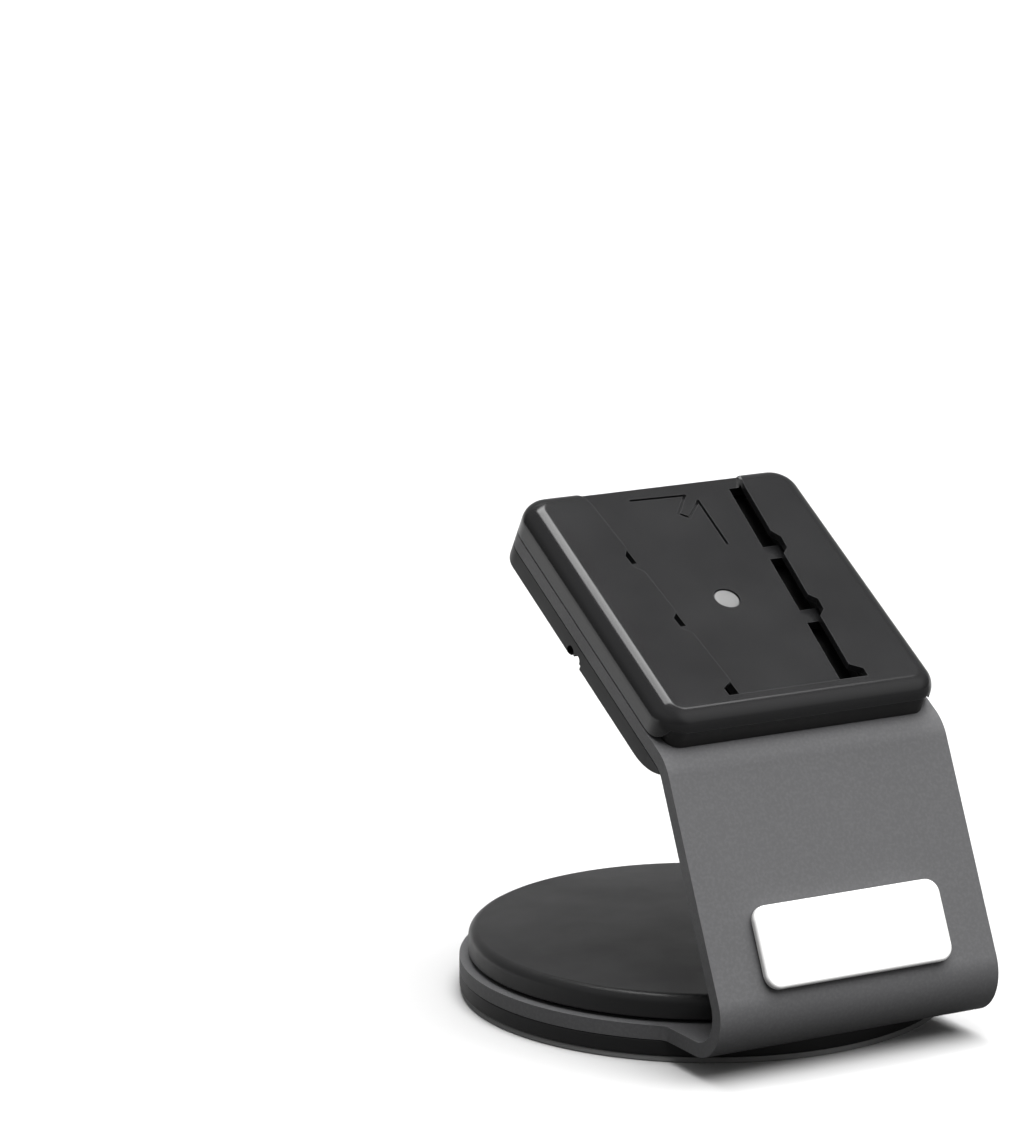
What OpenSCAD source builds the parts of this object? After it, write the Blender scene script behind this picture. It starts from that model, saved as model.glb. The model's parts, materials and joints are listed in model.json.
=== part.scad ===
// Countertop security dock stand.
// Round swivel base, bent sheet bracket and a sloping dock with a tapering slide channel.
// Origin: centre of the base on the counter. X across, Y to the back, Z up. Millimetres.

/* [Base] */
// Radius of the lower base disc
base_r = 49.6; // [48:0.1:55]
// Thickness of the anti slip pad
pad_t = 1.24; // [1:0.02:2]
// Thickness of the lower base disc
disc_t = 3.24; // [3.2:0.02:4]
// Radius of the cap on the foot
cap_r = 47.8; // [44:0.1:47.9]
// Height of the cap wall above the foot gap
cap_h = 4.9; // [4.8:0.1:6.5]
// Rise of the slightly domed cap top
cap_dome = 0.9; // [0.5:0.1:2]
// Thickness of the ballast plate under the cap
ballast_t = 3.2; // [2.5:0.1:3.3]

/* [Bracket] */
// Width of the bracket strip
bracket_w = 64; // [60:0.5:66]
// Sheet thickness of the bracket
sheet_t = 3.0; // [2.6:0.1:3.2]
// Backward lean of the front face from vertical, degrees
lean = 25; // [15:1:30]
// Slope of the dock from horizontal, degrees
tilt = 30; // [20:1:40]
// Y position of the fold line under the dock
fold_y = -37.43; // [-40:0.01:-35]
// Height of the fold line under the dock
fold_z = 60.33; // [50:0.01:80]
// Outer radius of the lower bend
bend_lo_r = 9.0; // [7:0.5:10]
// Outer radius of the upper bend
bend_up_r = 9.5; // [7:0.5:10]

/* [Badge] */
// Width of the blank badge
badge_w = 42.6; // [30:0.1:50]
// Height of the blank badge
badge_h = 16.4; // [10:0.1:17]
// Thickness of the badge
badge_t = 1.5; // [1:0.1:2]
// Distance of the badge centre below the fold line, along the face
badge_down = 38.6; // [30:0.1:39]

/* [Dock] */
// Distance from the fold line to the front wall of the dock
dock_v0 = 2.8; // [2.6:0.1:4]
// Distance from the fold line to the rear wall of the dock
dock_v1 = 71; // [70:0.5:74]
// Height of the dock top above the flange
dock_h = 7.2; // [7.2:0.1:9]
// Corner radius of the dock in plan
dock_r = 6; // [5:0.5:7]
// Radius of the soft top edge
edge_r = 4; // [2:0.1:4.2]
// Depth of the channel floor below the top
floor_d = 2.5; // [2.3:0.1:2.6]
// Half width of the channel at its closed end
chan_a = 13.25; // [12:0.05:13.5]
// Taper of each channel side, degrees
chan_taper = 4.67; // [3:0.01:4.8]
// Sideways offset of the channel from the middle of the bracket
chan_u = 0.45; // [0:0.05:0.6]
// Thickness of the rail lip over the side slots
lip_t = 1.4; // [1.2:0.1:1.6]
// Depth of the belly cover below the top face of the flange
belly_d = 7.5; // [6.8:0.1:8]

/* [Lock] */
// Diameter of the lock pin
pin_d = 5.4; // [4.5:0.1:5.6]
// Distance of the lock pin from the fold line
pin_v = 37; // [36:0.5:38]
// How far the pin top sits below the channel floor
pin_recess = 0.25; // [0.1:0.05:0.6]
// Outer diameter of the lock barrel
barrel_d = 11.6; // [11:0.1:11.6]

/* [Part] */
// Which piece to draw

/* [Hidden] */
$fn = 96;

black = [0.13, 0.13, 0.14];
soft_black = [0.16, 0.16, 0.17];
grey = [0.40, 0.40, 0.41];
steel = [0.62, 0.62, 0.63];
zinc = [0.70, 0.70, 0.68];
brass = [0.72, 0.58, 0.30];
pale = [0.78, 0.78, 0.78];
white = [0.95, 0.95, 0.94];

gap = 0.02;                        // between pieces that rest on each other
half_w = bracket_w / 2;
disc_top = pad_t + disc_t;
foot_z = disc_top + gap;           // underside of the bracket foot
foot_top = foot_z + sheet_t;

// Bracket side profile, points and directions as [y, z]
face_up = [sin(lean), cos(lean)];
face_out = [-cos(lean), sin(lean)];
flange_up = [cos(tilt), sin(tilt)];
flange_out = [-sin(tilt), cos(tilt)];
fold = [fold_y, fold_z];
// upper bend: tangent length, ends on the face and the flange, centre
up_tangent = bend_up_r * tan((90 - lean - tilt) / 2);
up_start = fold - up_tangent * face_up;
up_end = fold + up_tangent * flange_up;
up_centre = up_start - bend_up_r * face_out;
// lower bend: tangent length, sharp corner, ends on the face and the foot, centre
lo_tangent = bend_lo_r * tan((90 + lean) / 2);
lo_corner = fold - ((fold_z - foot_z) / cos(lean)) * face_up;
lo_face_end = lo_corner + lo_tangent * face_up;
lo_foot_end = lo_corner + [lo_tangent, 0];
lo_centre = lo_foot_end + [0, bend_lo_r];

// Screw places in the dock frame, [across, up the slope]
post_v = [11, 63.5];
post_places = [for (u = [-25.5, 25.5]) for (v = post_v) [u, v]];
chassis_places = [for (u = [-7, 7]) for (v = [16, 58]) [u, v]];

// Heights above the flange
floor_z = dock_h - floor_d;        // channel floor
floor_under = floor_z - 2.0;       // underside of the channel floor
lip_under = dock_h - lip_t;        // underside of the rail lips
opening_h = 3.9;                   // front opening of the shell

barrel_hole_r = 6.1;               // clearance round the barrel in flange and chassis

// ---------- frames and places ----------
// dock frame: x across, y up the slope, z out of the flange
module in_dock() {
  translate([0, fold_y, fold_z]) rotate([tilt, 0, 0]) children();
}
module at_pin() {
  in_dock() translate([0, pin_v, 0]) children();
}
// front face frame: x across, y up the face, z out of the face
module in_face() {
  translate([0, fold_y, fold_z]) rotate([90 - lean, 0, 0]) children();
}
module at_each(places) {
  for (place = places) translate(place) children();
}
// four copies on a circle about Z, the first at angle start
module four_round(start, radius) {
  for (a = [start : 90 : start + 270]) rotate([0, 0, a]) translate([radius, 0, 0]) children();
}

// ---------- basic shapes ----------
// side profile drawn as [y, z], extruded along X and centred
module side(width) {
  translate([-width / 2, 0, 0]) rotate([90, 0, 90]) linear_extrude(width) children();
}
// upright cylinder that starts at height z
module rod(z, r, h) {
  translate([0, 0, z]) cylinder(r = r, h = h);
}
module ring(r, bore_r, h) {
  difference() {
    cylinder(r = r, h = h);
    rod(-1, bore_r, h + 2);
  }
}
// rectangle centred across, from y0 to y1
module strip(half_width, y0, y1) {
  translate([-half_width, y0]) square([2 * half_width, y1 - y0]);
}
// polygon from the points on its +X side and their mirror images
module symmetric(right) {
  polygon(concat(right, [for (i = [len(right) - 1 : -1 : 0]) [-right[i][0], right[i][1]]]));
}
module rounded_rect(x0, x1, y0, y1, r) {
  translate([x0 + r, y0]) square([x1 - x0 - 2 * r, y1 - y0]);
  translate([x0, y0 + r]) square([x1 - x0, y1 - y0 - 2 * r]);
  for (x = [x0 + r, x1 - r]) for (y = [y0 + r, y1 - r]) translate([x, y]) circle(r);
}

// one quarter corner of a soft topped block
module soft_corner(r, edge) {
  rotate_extrude(angle = 90) {
    square([r - edge, edge]);
    intersection() {
      translate([r - edge, 0]) circle(edge);
      translate([r - edge, 0]) square([edge, edge]);
    }
  }
}
module soft_edge(length, edge) {
  linear_extrude(length) intersection() {
    circle(edge);
    square([edge, edge]);
  }
}
// block with rounded plan corners and a soft top edge, from z = 0 to h
module soft_block(x0, x1, y0, y1, h, r, edge) {
  len_x = x1 - x0 - 2 * r;
  len_y = y1 - y0 - 2 * r;
  // [x, y, turn]
  corners = [[x1 - r, y1 - r, 0], [x0 + r, y1 - r, 90], [x0 + r, y0 + r, 180],
    [x1 - r, y0 + r, 270]];
  // [x, y, turn, length]
  edges = [[x1 - edge, y1 - r, 0, len_y], [x0 + edge, y0 + r, 180, len_y],
    [x0 + r, y1 - edge, 90, len_x], [x1 - r, y0 + edge, 270, len_x]];
  linear_extrude(h - edge) rounded_rect(x0, x1, y0, y1, r);
  translate([0, 0, h - edge]) {
    translate([x0 + r, y0 + edge, 0]) cube([len_x, y1 - y0 - 2 * edge, edge]);
    for (x = [x0 + edge, x1 - r]) translate([x, y0 + r, 0]) cube([r - edge, len_y, edge]);
    for (c = corners) translate([c[0], c[1], 0]) rotate([0, 0, c[2]]) soft_corner(r, edge);
    for (s = edges) translate([s[0], s[1], 0]) rotate([90, 0, s[2]]) soft_edge(s[3], edge);
  }
}

// ---------- fasteners ----------
// hexagonal prism, sized across its flats
module hexagon(flats, h) {
  cylinder(d = flats / cos(30), h = h, $fn = 6);
}
module hex_socket(flats, depth) {
  translate([0, 0, -0.01]) hexagon(flats, depth + 0.01);
}
// countersunk screw, head face at z = 0, shank up
module flat_screw(d, head_d, length, flats, socket_depth) {
  rim = 0.3;
  difference() {
    rotate_extrude() polygon([[0, 0], [head_d / 2, 0], [head_d / 2, rim],
      [d / 2, rim + (head_d - d) / 2], [d / 2, length], [0, length]]);
    hex_socket(flats, socket_depth);
  }
}
// hole through the bracket sheet, countersunk at 45 degrees from its underside at z = 0
module countersunk_hole(r, head_r) {
  rod(-1, r, 6);
  translate([0, 0, -0.01]) cylinder(r1 = head_r, r2 = r, h = head_r - r);
}

// ---------- base and pivot ----------
slip_outer_r = 45;
slip_inner_r = 41;
slip_d = 1;                        // depth of the slip ring groove
slip_play = 0.1;
bolt_r = 4;
bolt_head_r = 9;
bolt_z = pad_t + 0.1;
bolt_top = foot_top + 4.0;
foot_bore_r = 6;
washer_bore_r = bolt_r + 0.06;
thrust_t = 0.5;
wave_t = 0.4;
thrust_z = foot_top + 0.8 + gap;
wave_z = thrust_z + thrust_t + gap;
nut_z = wave_z + wave_t + gap;
nut_h = 2.1;

module anti_slip_pad() {
  color(pale) cylinder(r = base_r - 0.3, h = pad_t);
}
module base_disc() {
  color(black) difference() {
    rod(pad_t + gap, base_r, disc_t - gap);
    translate([0, 0, disc_top - slip_d])
      ring(slip_outer_r + slip_play, slip_inner_r - slip_play, 2);
    rod(-1, bolt_r + 0.02, 10);
    // recess for the bolt head
    rod(-1, bolt_head_r + 0.1, pad_t + 1 + 1.9);
  }
}
module slip_ring() {
  color(white) translate([0, 0, disc_top - slip_d + gap])
    ring(slip_outer_r, slip_inner_r, slip_d - gap);
}
module pivot_bolt() {
  color(zinc) translate([0, 0, bolt_z]) difference() {
    union() {
      cylinder(r = bolt_head_r, h = 1.75);
      cylinder(r = bolt_r, h = bolt_top - bolt_z);
    }
    hex_socket(5, 1.2);
  }
}
module thrust_washer() {
  color(white) translate([0, 0, thrust_z]) ring(9, washer_bore_r, thrust_t);
}
module wave_washer() {
  color(steel) translate([0, 0, wave_z]) ring(7.5, washer_bore_r, wave_t);
}
module pivot_nut() {
  color(zinc) translate([0, 0, nut_z]) difference() {
    // the cone trims the lower corners of the hexagon
    intersection() {
      hexagon(13, nut_h);
      cylinder(r1 = 7.0, r2 = 7.6, h = nut_h);
    }
    rod(-1, bolt_r + 0.02, 5);
  }
}
// flanged bush in the bore of the foot
module pivot_bush() {
  color(brass) translate([0, 0, foot_z + 0.1]) difference() {
    union() {
      cylinder(r = foot_bore_r - 0.02, h = sheet_t);
      rod(sheet_t - 0.08, 8.5, 0.76);
    }
    rod(-1, bolt_r + 0.05, 6);
  }
}

// ---------- bracket ----------
ballast_hole_r = 30;               // radius of the ballast screw circle

module foot_plan() {
  // round foot, open at the front where the strip runs on into the lower bend
  difference() {
    circle(base_r);
    strip(half_w, -base_r - 5, -base_r + 5);
  }
  // small inner fillets where the strip leaves the disc
  fillet = 3;
  centre_x = half_w + fillet;
  centre_y = -sqrt(pow(base_r + fillet, 2) - pow(centre_x, 2));
  touch = [centre_x, centre_y] * base_r / (base_r + fillet);
  for (s = [-1, 1]) difference() {
    polygon([[s * half_w, centre_y], [s * centre_x, centre_y], [s * touch[0], touch[1]],
      [s * (half_w - 1), touch[1]], [s * (half_w - 1), centre_y]]);
    translate([s * centre_x, centre_y]) circle(fillet);
  }
}
// region behind the outer face minus the region behind the inner face
module bracket_side() {
  t = sheet_t;
  overlap = 0.002;                 // lets the bend circles merge with the straight parts
  end = fold + dock_v1 * flange_up;
  toe = [-30, foot_z];             // rear end of the strip, inside the round foot
  difference() {
    union() {
      polygon([toe, lo_foot_end, lo_centre, lo_face_end, up_start, up_centre, up_end,
        end, end - 8 * flange_out, toe + [0, 8]]);
      translate(lo_centre) circle(bend_lo_r + overlap);
      translate(up_centre) circle(bend_up_r + overlap);
    }
    union() {
      polygon([toe + [20, t], lo_foot_end + [0, t], lo_centre, lo_face_end - t * face_out,
        up_start - t * face_out, up_centre, up_end - t * flange_out,
        end - t * flange_out + 20 * flange_up]);
      translate(lo_centre) circle(bend_lo_r - t + overlap);
      translate(up_centre) circle(bend_up_r - t + overlap);
    }
  }
}
// cutter for the rear corner at [x, y], leaving radius r
module corner_cutter(x, y, r, h) {
  side_sign = x > 0 ? 1 : -1;
  difference() {
    translate([x > 0 ? x - r : x - 1, y - r, -h]) cube([r + 1, r + 1, 2 * h]);
    translate([x - side_sign * r, y - r, -h - 1]) cylinder(r = r, h = 2 * h + 2);
  }
}
module bracket() {
  color(grey) difference() {
    union() {
      translate([0, 0, foot_z]) linear_extrude(sheet_t) foot_plan();
      side(bracket_w) bracket_side();
    }
    rod(foot_z - 1, foot_bore_r, sheet_t + 2);
    translate([0, 0, foot_z]) four_round(45, ballast_hole_r) countersunk_hole(2.1, 4.05);
    in_dock() {
      for (s = [-1, 1]) corner_cutter(s * half_w, dock_v1, dock_r, 6);
      at_each(post_places) rod(-5, 1.7, 7);
      translate([0, 0, -sheet_t]) at_each(chassis_places) countersunk_hole(1.6, 3.25);
      translate([0, pin_v, 0]) rod(-5, barrel_hole_r, 7);
    }
  }
}

// ---------- foot weight and cap ----------
cap_z = foot_top + 0.78;           // lower edge of the cap wall
cap_top_t = 1.4;
cap_wall = 2;
cap_edge = 2.0;                    // radius of the outer top edge
pads_z = foot_top + gap + ballast_t + gap;

module ballast_plate() {
  color(steel) translate([0, 0, foot_top + gap]) difference() {
    ring(43, 12, ballast_t);
    four_round(45, ballast_hole_r) rod(-1, 2.02, 6);
  }
}
module ballast_screws() {
  color(zinc) translate([0, 0, foot_z + 0.1]) four_round(45, ballast_hole_r)
    flat_screw(d = 4, head_d = 7.2, length = 5.8, flats = 2.5, socket_depth = 1.2);
}
// pads between the ballast plate and the underside of the cap top
module cap_pads() {
  color(white) four_round(0, 34) rod(pads_z, 5, cap_z + cap_h - cap_top_t - pads_z - gap);
}
module base_cap() {
  dome_r = cap_r - cap_edge;
  color(black) translate([0, 0, cap_z]) difference() {
    rotate_extrude() union() {
      square([cap_r, cap_h - cap_edge]);
      // dome in ten steps, from the rim to the middle
      polygon([[0, 0], [dome_r, 0],
        for (i = [10 : -1 : 0]) [dome_r * i / 10, cap_h + cap_dome * (1 - i * i / 100)]]);
      intersection() {
        translate([dome_r, cap_h - cap_edge]) circle(cap_edge);
        translate([dome_r - 0.5, cap_h - cap_edge - 0.5]) square([cap_edge + 1, cap_edge + 1]);
      }
    }
    rod(-1, cap_r - cap_wall, cap_h - cap_top_t + 1);
  }
}

// ---------- badge ----------
tape_t = 0.4;
tape_inset = 1.5;                  // from the edges of the badge

module badge_tape() {
  half_x = badge_w / 2 - tape_inset;
  half_y = badge_h / 2 - tape_inset;
  color(white) in_face() translate([0, -badge_down, gap])
    linear_extrude(tape_t) rounded_rect(-half_x, half_x, -half_y, half_y, 2);
}
module badge_plate() {
  color(white) in_face() translate([0, -badge_down, tape_t + 2 * gap])
    soft_block(-badge_w / 2, badge_w / 2, -badge_h / 2, badge_h / 2, badge_t, r = 3, edge = 0.6);
}

// ---------- chassis ----------
beam_v0 = dock_v0 + 0.2;           // front face of the beam
beam_v1 = 7.05;                    // rear face of the beam
beam_u = 29.7;                     // half length of the beam
beam_r = 3;                        // radius of its front corners
chassis_v1 = 68.5;                 // rear end of the chassis
bush_hole_r = 4;

module dock_chassis() {
  color(soft_black) in_dock() translate([0, 0, gap]) difference() {
    union() {
      linear_extrude(floor_under - 2 * gap) strip(10.5, beam_v1 - 1, chassis_v1);
      // thin tray below the side slots, with two arms
      linear_extrude(1.2) {
        strip(21.5, beam_v1 - 1, chassis_v1);
        strip(29.5, 30, 44);
      }
      // front beam, seen below the edge of the shell
      linear_extrude(opening_h - 2 * gap) {
        strip(beam_u - beam_r, beam_v0, beam_v1);
        strip(beam_u, beam_v0 + beam_r, beam_v1);
        for (s = [-1, 1]) intersection() {
          translate([s * (beam_u - beam_r), beam_v0 + beam_r]) circle(beam_r);
          strip(half_w, beam_v0 - 1, beam_v1);
        }
      }
    }
    at_each(chassis_places) rod(-1, 1.52, 6);
    translate([0, pin_v, 0]) {
      rod(-1, bush_hole_r, 6);
      rod(-1, barrel_hole_r, 1.35);
    }
  }
}
module chassis_screws() {
  color(zinc) in_dock() translate([0, 0, -sheet_t + 0.1]) at_each(chassis_places)
    flat_screw(d = 3, head_d = 5.6, length = 4.9, flats = 2, socket_depth = 1.0);
}

// ---------- dock shell ----------
chan_v0 = 8.3;                     // closed end of the channel
flare_v = 65;                      // start of the flared entry
flare = 1.6;                       // widening of each side at the entry
rail_v1 = 67.7;                    // rear end of the undercut and the side slots
undercut = 2.8;                    // reach of the undercut below each lip
slot_reach = 2.6;                  // reach of the side slots past the channel side
shell_wall = 2;
shell_post_r = 3.7;
wall_gap = 0.25;                   // between the dock walls and the flange

// start and end of each side slot, from the fold line
side_slots = [[10.45, 27.2], [30.85, 46.2], [49.8, rail_v1]];
// gaps in the lip edge: [start, full depth from, full depth to, end, depth]
rail_notches = [
  [44.9, 46.5, 49.8, 51.7, 1.5],
  [26.3, 28.0, 31.0, 32.6, 1.6],
  [chan_v0, chan_v0 + 0.01, 10.4, 12.1, 2.7]];
// centre line of the fine groove, [across, up the slope]
groove_path = [[-6.5, 67.7], [5.9, 67.35], [1.9, 62.4], [3.75, 60.9], [8.05, 65.3], [8, 52.3]];
groove_half_w = 0.25;

// half width of the channel, and of the floor between the side slots
function chan_half(v) = chan_a + (v - chan_v0) * tan(chan_taper);
function slot_half(v) = 11.6 + (v - 10.6) * 0.0795;

// trapezoid gap in the lip edge on side s
module rail_notch(s, notch) {
  depth = notch[4];
  // [distance from the fold line, offset from the channel side]
  outline = [[notch[0], -1], [notch[0], 0], [notch[1], depth], [notch[2], depth],
    [notch[3], 0], [notch[3], -1]];
  translate([0, 0, floor_z]) linear_extrude(floor_d + 1)
    polygon([for (p = outline) [s * (chan_half(p[0]) + p[1]), p[0]]]);
}
module channel_cut() {
  entry_half = chan_half(flare_v);
  // open channel, flared at its entry
  translate([0, 0, floor_z]) linear_extrude(floor_d + 1) symmetric([
    [chan_half(chan_v0), chan_v0], [entry_half, flare_v],
    [entry_half + flare, 70], [entry_half + flare, 72.5]]);
  // undercut below the lips, over the whole run
  translate([0, 0, floor_z]) linear_extrude(lip_under - floor_z)
    symmetric([for (v = [chan_v0, rail_v1]) [chan_half(v) + undercut, v]]);
  for (s = [-1, 1]) {
    // side slots down through the floor
    for (slot = side_slots)
      translate([0, 0, floor_under - 1]) linear_extrude(floor_z - floor_under + 1.5) polygon([
        [s * slot_half(slot[0]), slot[0]],
        [s * (chan_half(slot[0]) + slot_reach), slot[0]],
        [s * (chan_half(slot[1]) + slot_reach), slot[1]],
        [s * slot_half(slot[1]), slot[1]]]);
    for (notch = rail_notches) rail_notch(s, notch);
  }
}
// straight groove from a to b, lengthened by its half width at both ends
module groove_run(a, b) {
  along = (b - a) / norm(b - a) * groove_half_w;
  across = [-along[1], along[0]];
  polygon([a - along + across, b + along + across, b + along - across, a - along - across]);
}
// narrow groove near the entry, with a slanting tongue between its two runs
module fine_groove() {
  translate([0, 0, floor_z - 0.7]) linear_extrude(2)
    for (i = [0 : len(groove_path) - 2]) groove_run(groove_path[i], groove_path[i + 1]);
}
module dock_shell() {
  color(black) in_dock() difference() {
    translate([0, 0, gap])
      soft_block(-half_w, half_w, dock_v0, dock_v1, dock_h - gap, dock_r, edge_r);
    // hollow underside
    translate([0, 0, -1]) linear_extrude(floor_under + 1) difference() {
      rounded_rect(-half_w + shell_wall, half_w - shell_wall,
        dock_v0 + shell_wall, dock_v1 - shell_wall, dock_r - shell_wall);
      at_each(post_places) circle(shell_post_r);
    }
    // deeper pockets along both sides
    for (x = [-half_w + shell_wall, 22.5])
      translate([0, 0, floor_under - 0.5])
        linear_extrude(dock_h - 2.2 - floor_under + 0.5) difference() {
          translate([x, dock_v0 + 4])
            square([half_w - 22.5 - shell_wall, dock_v1 - dock_v0 - 8]);
          at_each(post_places) circle(shell_post_r);
        }
    at_each(post_places) rod(-1, 2.02, 5.6);
    translate([chan_u, 0, 0]) channel_cut();
    translate([0, pin_v, 0]) cylinder(r = pin_d / 2 + 0.08, h = dock_h);
    fine_groove();
    // walls stop just above the flange, only the posts touch it
    translate([0, 0, -1]) linear_extrude(1 + wall_gap) difference() {
      strip(half_w + 1, dock_v0 - 1, dock_v1 + 1);
      at_each(post_places) circle(shell_post_r);
    }
    // front opening over the chassis beam, its lower corners spreading outwards
    translate([0, dock_v0 + dock_r - 0.2, 0]) rotate([90, 0, 0]) linear_extrude(dock_r + 0.8)
      symmetric([[29.75, opening_h], [30.7, 1.8], [31.4, 0.85],
        [half_w + 0.5, 0], [half_w + 0.5, -1]]);
  }
}
// inserts in the shell posts, each with two grooves round it
module shell_inserts() {
  color(brass) in_dock() translate([0, 0, 0.3]) at_each(post_places) difference() {
    cylinder(r = 2.0, h = 4.2);
    rod(-1, 1.54, 7);
    for (z = [1.2, 2.6]) translate([0, 0, z]) ring(3, 1.8, 0.5);
  }
}

// ---------- belly cover ----------
belly_skin = 1.6;                  // thickness of the bottom
belly_wall = 1.8;
below = 12;                        // cutters start this far below the flange top
screw_seat = 4.9;                  // depth of the dock screw seats below the flange top

// side profile in the dock frame, as [distance from the fold line, height]
module belly_side() {
  nose_r = 15;
  nose_v = 10.3;
  intersection() {
    translate([-6, -belly_d]) square([dock_v1 + 6, belly_d - sheet_t - gap]);
    // rounded lower front
    union() {
      translate([nose_v, -belly_d + nose_r]) circle(nose_r, $fn = 180);
      translate([nose_v, -belly_d]) square([dock_v1 - nose_v, belly_d]);
    }
    // clear of the inside of the upper bend
    union() {
      translate([up_tangent, -bend_up_r]) circle(bend_up_r - sheet_t - 0.1);
      translate([up_tangent, -20]) square([dock_v1, 20]);
    }
  }
}
// space inside the cover, less the screw posts and two ribs
module belly_hollow() {
  difference() {
    translate([0, 0, -belly_d + belly_skin]) linear_extrude(10)
      rounded_rect(-half_w + belly_wall, half_w - belly_wall, 8, dock_v1 - belly_wall, 4);
    for (p = post_places)
      translate([p[0], p[1] == post_v[0] ? p[1] + 0.01 : p[1], 0]) rod(-below, 4.2, 14);
    for (x = [-12.2, 10.6])
      translate([x, 20, -below]) cube([1.6, 36, below - sheet_t - 0.6]);
  }
}
// notch in the left edge for a cable lock, with two rounded ends at its top
module cable_notch() {
  length = 3.4;
  translate([-half_w - 1, pin_v, 0]) {
    translate([0, -2.8, -below]) cube([length, 4.1, below - 6]);
    // [y, z, radius]
    for (end = [[-1.1, -6, 1.1], [1.6, -6.2, 1.35]])
      translate([0, end[0], end[1]]) rotate([0, 90, 0]) cylinder(r = end[2], h = length);
  }
}
module belly_cover() {
  color(black) in_dock() difference() {
    intersection() {
      side(bracket_w) belly_side();
      // plan with rounded rear corners
      translate([0, 0, -below]) linear_extrude(below) union() {
        rounded_rect(-half_w, half_w, 20, dock_v1, dock_r);
        strip(half_w, -5, 35);
      }
    }
    belly_hollow();
    at_each(post_places) {
      rod(-below, 1.6, below);
      rod(-below, 3.1, below - screw_seat);
    }
    translate([0, pin_v, 0]) rod(-below, barrel_d / 2 + 0.1, below);
    cable_notch();
  }
}
module dock_screws() {
  head_z = -belly_d + 0.2;
  color(zinc) in_dock() at_each(post_places) difference() {
    union() {
      rod(head_z, 2.8, -head_z - screw_seat - gap);
      rod(-5.2, 1.5, 9.3);
    }
    translate([0, 0, head_z]) hex_socket(2, 1.1);
  }
}
// slotted plate inside the left wall of the cover
module slot_plate() {
  color(steel) at_pin() difference() {
    translate([-half_w + 1.9, -7, -belly_d + 1.65])
      cube([1.2, 14.5, belly_d - 1.65 - sheet_t - 0.05]);
    translate([-half_w, -2.8, -6]) cube([4, 5.6, 1.2]);
  }
}

// ---------- lock ----------
module pin_bush() {
  z = 0.42;
  color(brass) at_pin() translate([0, 0, z])
    ring(bush_hole_r - 0.03, pin_d / 2 + 0.05, floor_under - z - 0.05);
}
module lock_barrel() {
  color(zinc) at_pin() difference() {
    union() {
      rod(-belly_d - 1.3, 7.6, 1.28);
      rod(-belly_d - 0.5, barrel_d / 2, belly_d + 0.5 - 0.4);
    }
    rod(-12, 3.75, 14);
  }
}
module lock_nut() {
  color(zinc) at_pin() translate([0, 0, -belly_d + belly_skin + gap]) difference() {
    hexagon(15, 1.9);
    rod(-1, barrel_d / 2 + 0.02, 4);
  }
}
module lock_plug() {
  well_h = 5.2;
  color(steel) at_pin() difference() {
    rod(-belly_d - 1.2, 3.7, belly_d + 1.2);
    // round key well with a locating slot
    translate([0, 0, -belly_d - 2]) {
      ring(2.7, 1.5, well_h);
      translate([2, -0.6, 0]) cube([1.2, 1.2, well_h]);
    }
  }
}
module lock_pin() {
  pin_r = pin_d / 2;
  pin_z = 0.05;
  pin_h = floor_z - pin_recess - pin_z;
  rim = 0.3;
  color(pale) at_pin() translate([0, 0, pin_z]) difference() {
    cylinder(r = pin_r, h = pin_h);
    // soft rim
    translate([0, 0, pin_h - rim]) difference() {
      cylinder(r = pin_r + 1, h = 1);
      cylinder(r1 = pin_r, r2 = pin_r - rim, h = rim);
      rod(-1, pin_r - rim, 3);
    }
  }
}

anti_slip_pad();
base_disc();
slip_ring();
pivot_bolt();
thrust_washer();
wave_washer();
pivot_nut();
bracket();
pivot_bush();
ballast_plate();
ballast_screws();
cap_pads();
base_cap();
badge_tape();
badge_plate();
dock_chassis();
chassis_screws();
dock_shell();
shell_inserts();
belly_cover();
dock_screws();
slot_plate();
pin_bush();
lock_barrel();
lock_nut();
lock_plug();
lock_pin();
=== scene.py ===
"""Countertop dock stand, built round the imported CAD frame.

A bent sheet bracket rises from a round base, leans back, and folds rearward into a sloping
flange that is held between the dock shell above and the belly cover below.
World axes: X to the right, Y to the back, Z up, with the base centred on the Z axis.
Pieces are modelled in millimetres and scaled to metres by place().
Dock frame: u along X, v up the flange from the fold line, n square to the flange, upward.
"""

import bpy
import bmesh
import json
import math
from mathutils import Matrix, Vector


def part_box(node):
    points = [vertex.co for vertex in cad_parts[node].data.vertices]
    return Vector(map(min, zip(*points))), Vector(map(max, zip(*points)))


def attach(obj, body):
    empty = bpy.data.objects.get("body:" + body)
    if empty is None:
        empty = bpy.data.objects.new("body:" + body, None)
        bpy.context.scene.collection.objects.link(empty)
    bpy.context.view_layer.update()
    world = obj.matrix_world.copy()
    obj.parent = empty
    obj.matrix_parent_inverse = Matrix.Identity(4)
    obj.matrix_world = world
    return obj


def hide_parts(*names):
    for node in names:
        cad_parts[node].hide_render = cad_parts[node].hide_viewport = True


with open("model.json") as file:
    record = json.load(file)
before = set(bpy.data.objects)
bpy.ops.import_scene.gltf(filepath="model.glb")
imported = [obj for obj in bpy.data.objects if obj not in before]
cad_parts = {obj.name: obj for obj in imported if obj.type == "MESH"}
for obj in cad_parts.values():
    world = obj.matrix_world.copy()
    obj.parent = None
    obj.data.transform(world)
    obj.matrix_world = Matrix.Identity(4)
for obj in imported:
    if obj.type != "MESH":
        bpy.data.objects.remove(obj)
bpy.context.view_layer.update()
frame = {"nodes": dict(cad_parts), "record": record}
scene = bpy.context.scene


def span(node, axis):
    """Low and high end of a CAD node's box along one axis, in mm."""
    low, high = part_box(node)
    return low[axis] * 1000.0, high[axis] * 1000.0


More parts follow.
